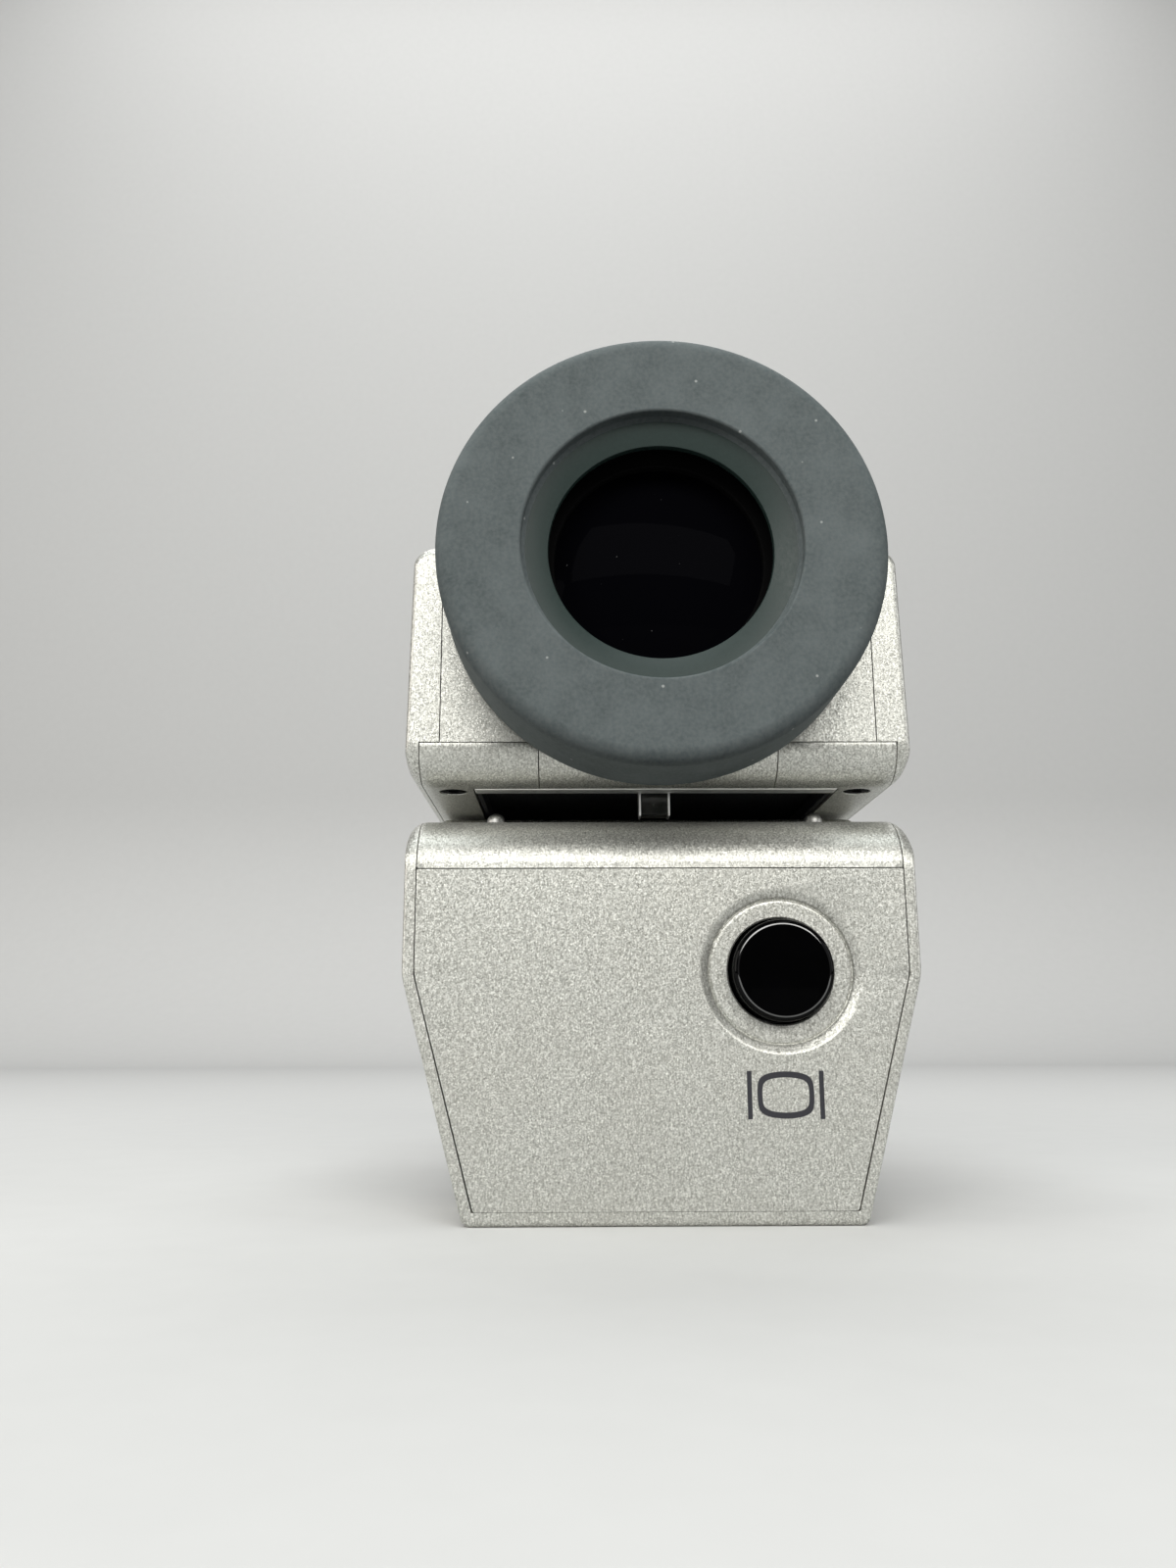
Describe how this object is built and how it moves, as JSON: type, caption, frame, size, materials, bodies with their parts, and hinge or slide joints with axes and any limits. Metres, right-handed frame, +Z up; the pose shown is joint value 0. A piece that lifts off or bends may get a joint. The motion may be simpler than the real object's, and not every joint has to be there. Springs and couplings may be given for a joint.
{
  "type": "electronic viewfinder",
  "caption": "Clip-on electronic viewfinder: a shoe-mounted base with a button and rear plug, and a boxy head with a round rubber eyecup that tilts up on a front hinge.",
  "frame": {"origin": "middle of the shoe foot's underside, which rests on the floor of the camera's shoe", "axes": "+Z up, out of the shoe; +Y forwards, the way the camera looks; the eyepiece faces -Y; +X to the user's right"},
  "size_m": [0.0288, 0.0478, 0.0481],
  "materials": {
    "silver": "fine metallic paint, satin",
    "steel": "bright plated",
    "dark_steel": "blackened",
    "matt_black": "matt moulded",
    "gloss_black": "glossy moulded",
    "cone": "dark green-black, fine matt",
    "rubber": "slate grey, matt",
    "glass": "coated",
    "circuit": "green solder mask",
    "amber": "polyimide film",
    "gold": "gold plated",
    "white": "satin white"
  },
  "bodies": {
    "base": {"base_shell": "silver", "base_top_cover": "silver", "rear_panel": "silver", "base_chassis": "matt_black", "hinge_block": "silver", "shoe_foot": "steel", "shoe_screw_1": "dark_steel", "shoe_screw_2": "dark_steel", "shoe_screw_3": "dark_steel", "shoe_screw_4": "dark_steel", "main_board": "circuit", "tact_switch": "dark_steel", "button_pad": "rubber", "plug_block": "matt_black", "plug_shell": "steel", "plug_tongue": "matt_black", "plug_contacts": "gold", "bumper_left": "steel", "bumper_right": "steel", "hinge_pin_left": "steel", "hinge_pin_right": "steel", "hinge_washer_left": "steel", "hinge_washer_right": "steel", "hinge_flex": "amber"},
    "button": {"display_button": "gloss_black"},
    "head": {"head_side_left": "silver", "head_side_right": "silver", "head_top_cover": "silver", "head_front_cover": "silver", "head_rear_frame": "silver", "head_band_insert": "silver", "head_bottom_cover": "silver", "recess_lip": "steel", "recess_tray": "matt_black", "rest_latch": "steel", "head_screw_left": "dark_steel", "head_screw_right": "dark_steel", "head_chassis": "matt_black", "hinge_arm_left": "silver", "hinge_arm_right": "silver", "flex_knuckle": "silver", "display_frame": "matt_black", "display_panel": "glass", "backlight": "white", "driver_board": "circuit", "driver_chip": "matt_black", "display_flex": "amber", "eyepiece_barrel": "matt_black"},
    "dial": {"eyecup": "rubber", "dioptre_dial": "cone", "dial_retainer": "steel"},
    "lens_group": {"lens_cell": "matt_black", "eye_lens": "glass", "middle_lens": "glass", "field_lens": "glass", "front_spacer": "matt_black", "rear_spacer": "matt_black", "cell_ring": "matt_black", "focus_pin": "steel"}
  },
  "joints": [
    {"name": "head_tilt", "type": "hinge", "parent": "base", "child": "head", "pos_m": [0, 0.016, 0.0074], "axis": [-1, 0, 0], "range_deg": [0, 90]},
    {"name": "dioptre_turn", "type": "hinge", "parent": "head", "child": "dial", "pos_m": [0, -0.021, 0.02235], "axis": [0, 1, 0], "range_deg": [-60, 60]},
    {"name": "lens_travel", "type": "slide", "parent": "head", "child": "lens_group", "axis": [0, 1, 0], "range_m": [-0.0008, 0.0008]},
    {"name": "display_button_press", "type": "slide", "parent": "base", "child": "button", "axis": [0, 1, 0], "range_m": [0, 0.0005], "stiffness_N_per_m": 1500, "springref_m": -0.0001}
  ],
  "couplings": [
    {"joint": "dioptre_turn", "follows": "lens_travel", "rad_per_m": 1308.9}
  ]
}
